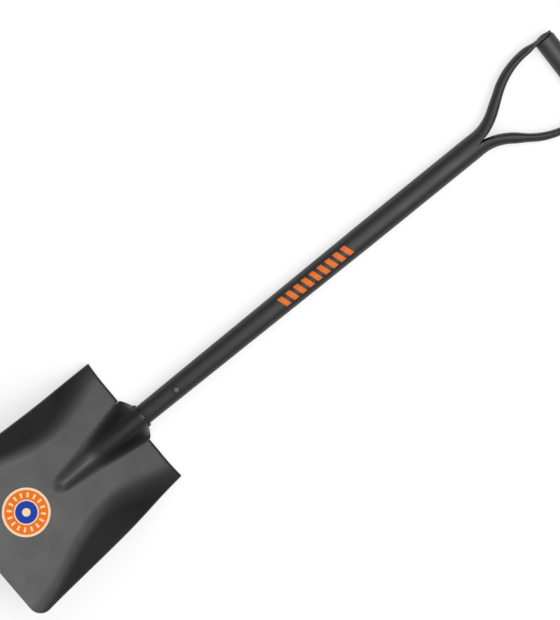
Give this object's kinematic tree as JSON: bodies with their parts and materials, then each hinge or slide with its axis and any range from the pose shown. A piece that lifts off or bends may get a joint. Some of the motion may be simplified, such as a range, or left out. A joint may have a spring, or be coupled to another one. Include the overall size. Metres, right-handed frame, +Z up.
{
  "type": "square mouth shovel",
  "caption": "Steel shovel with a dished, square mouthed blade, turned treads and a tapered tube shaft spread into a fork that holds a cross grip for the hand.",
  "frame": {"origin": "the level ground under the middle of the shovel's box, as the shovel lies on its back on its treads and its grip", "axes": "+Y runs along the shaft from the blade's mouth to the hand grip, +X runs across the blade, +Z points up, out of the front of the blade"},
  "size_m": [0.2232, 0.9986, 0.1011],
  "materials": {
    "steel_paint": "semi-gloss black stoved paint on pressed steel",
    "grip_paint": "smooth black stoved paint on drawn tube",
    "rivet_paint": "black paint over a hammered rivet head, thin on its crown",
    "weld_paint": "black paint over a rippled weld bead",
    "label_film": "printed vinyl sticker"
  },
  "bodies": {
    "root": {"blade": "steel_paint", "shaft": "steel_paint", "tang_rivet": "rivet_paint", "neck_weld_right": "weld_paint", "neck_weld_left": "weld_paint", "grip": "grip_paint", "grip_rivet": "rivet_paint", "blade_label": "label_film"}
  },
  "joints": []
}
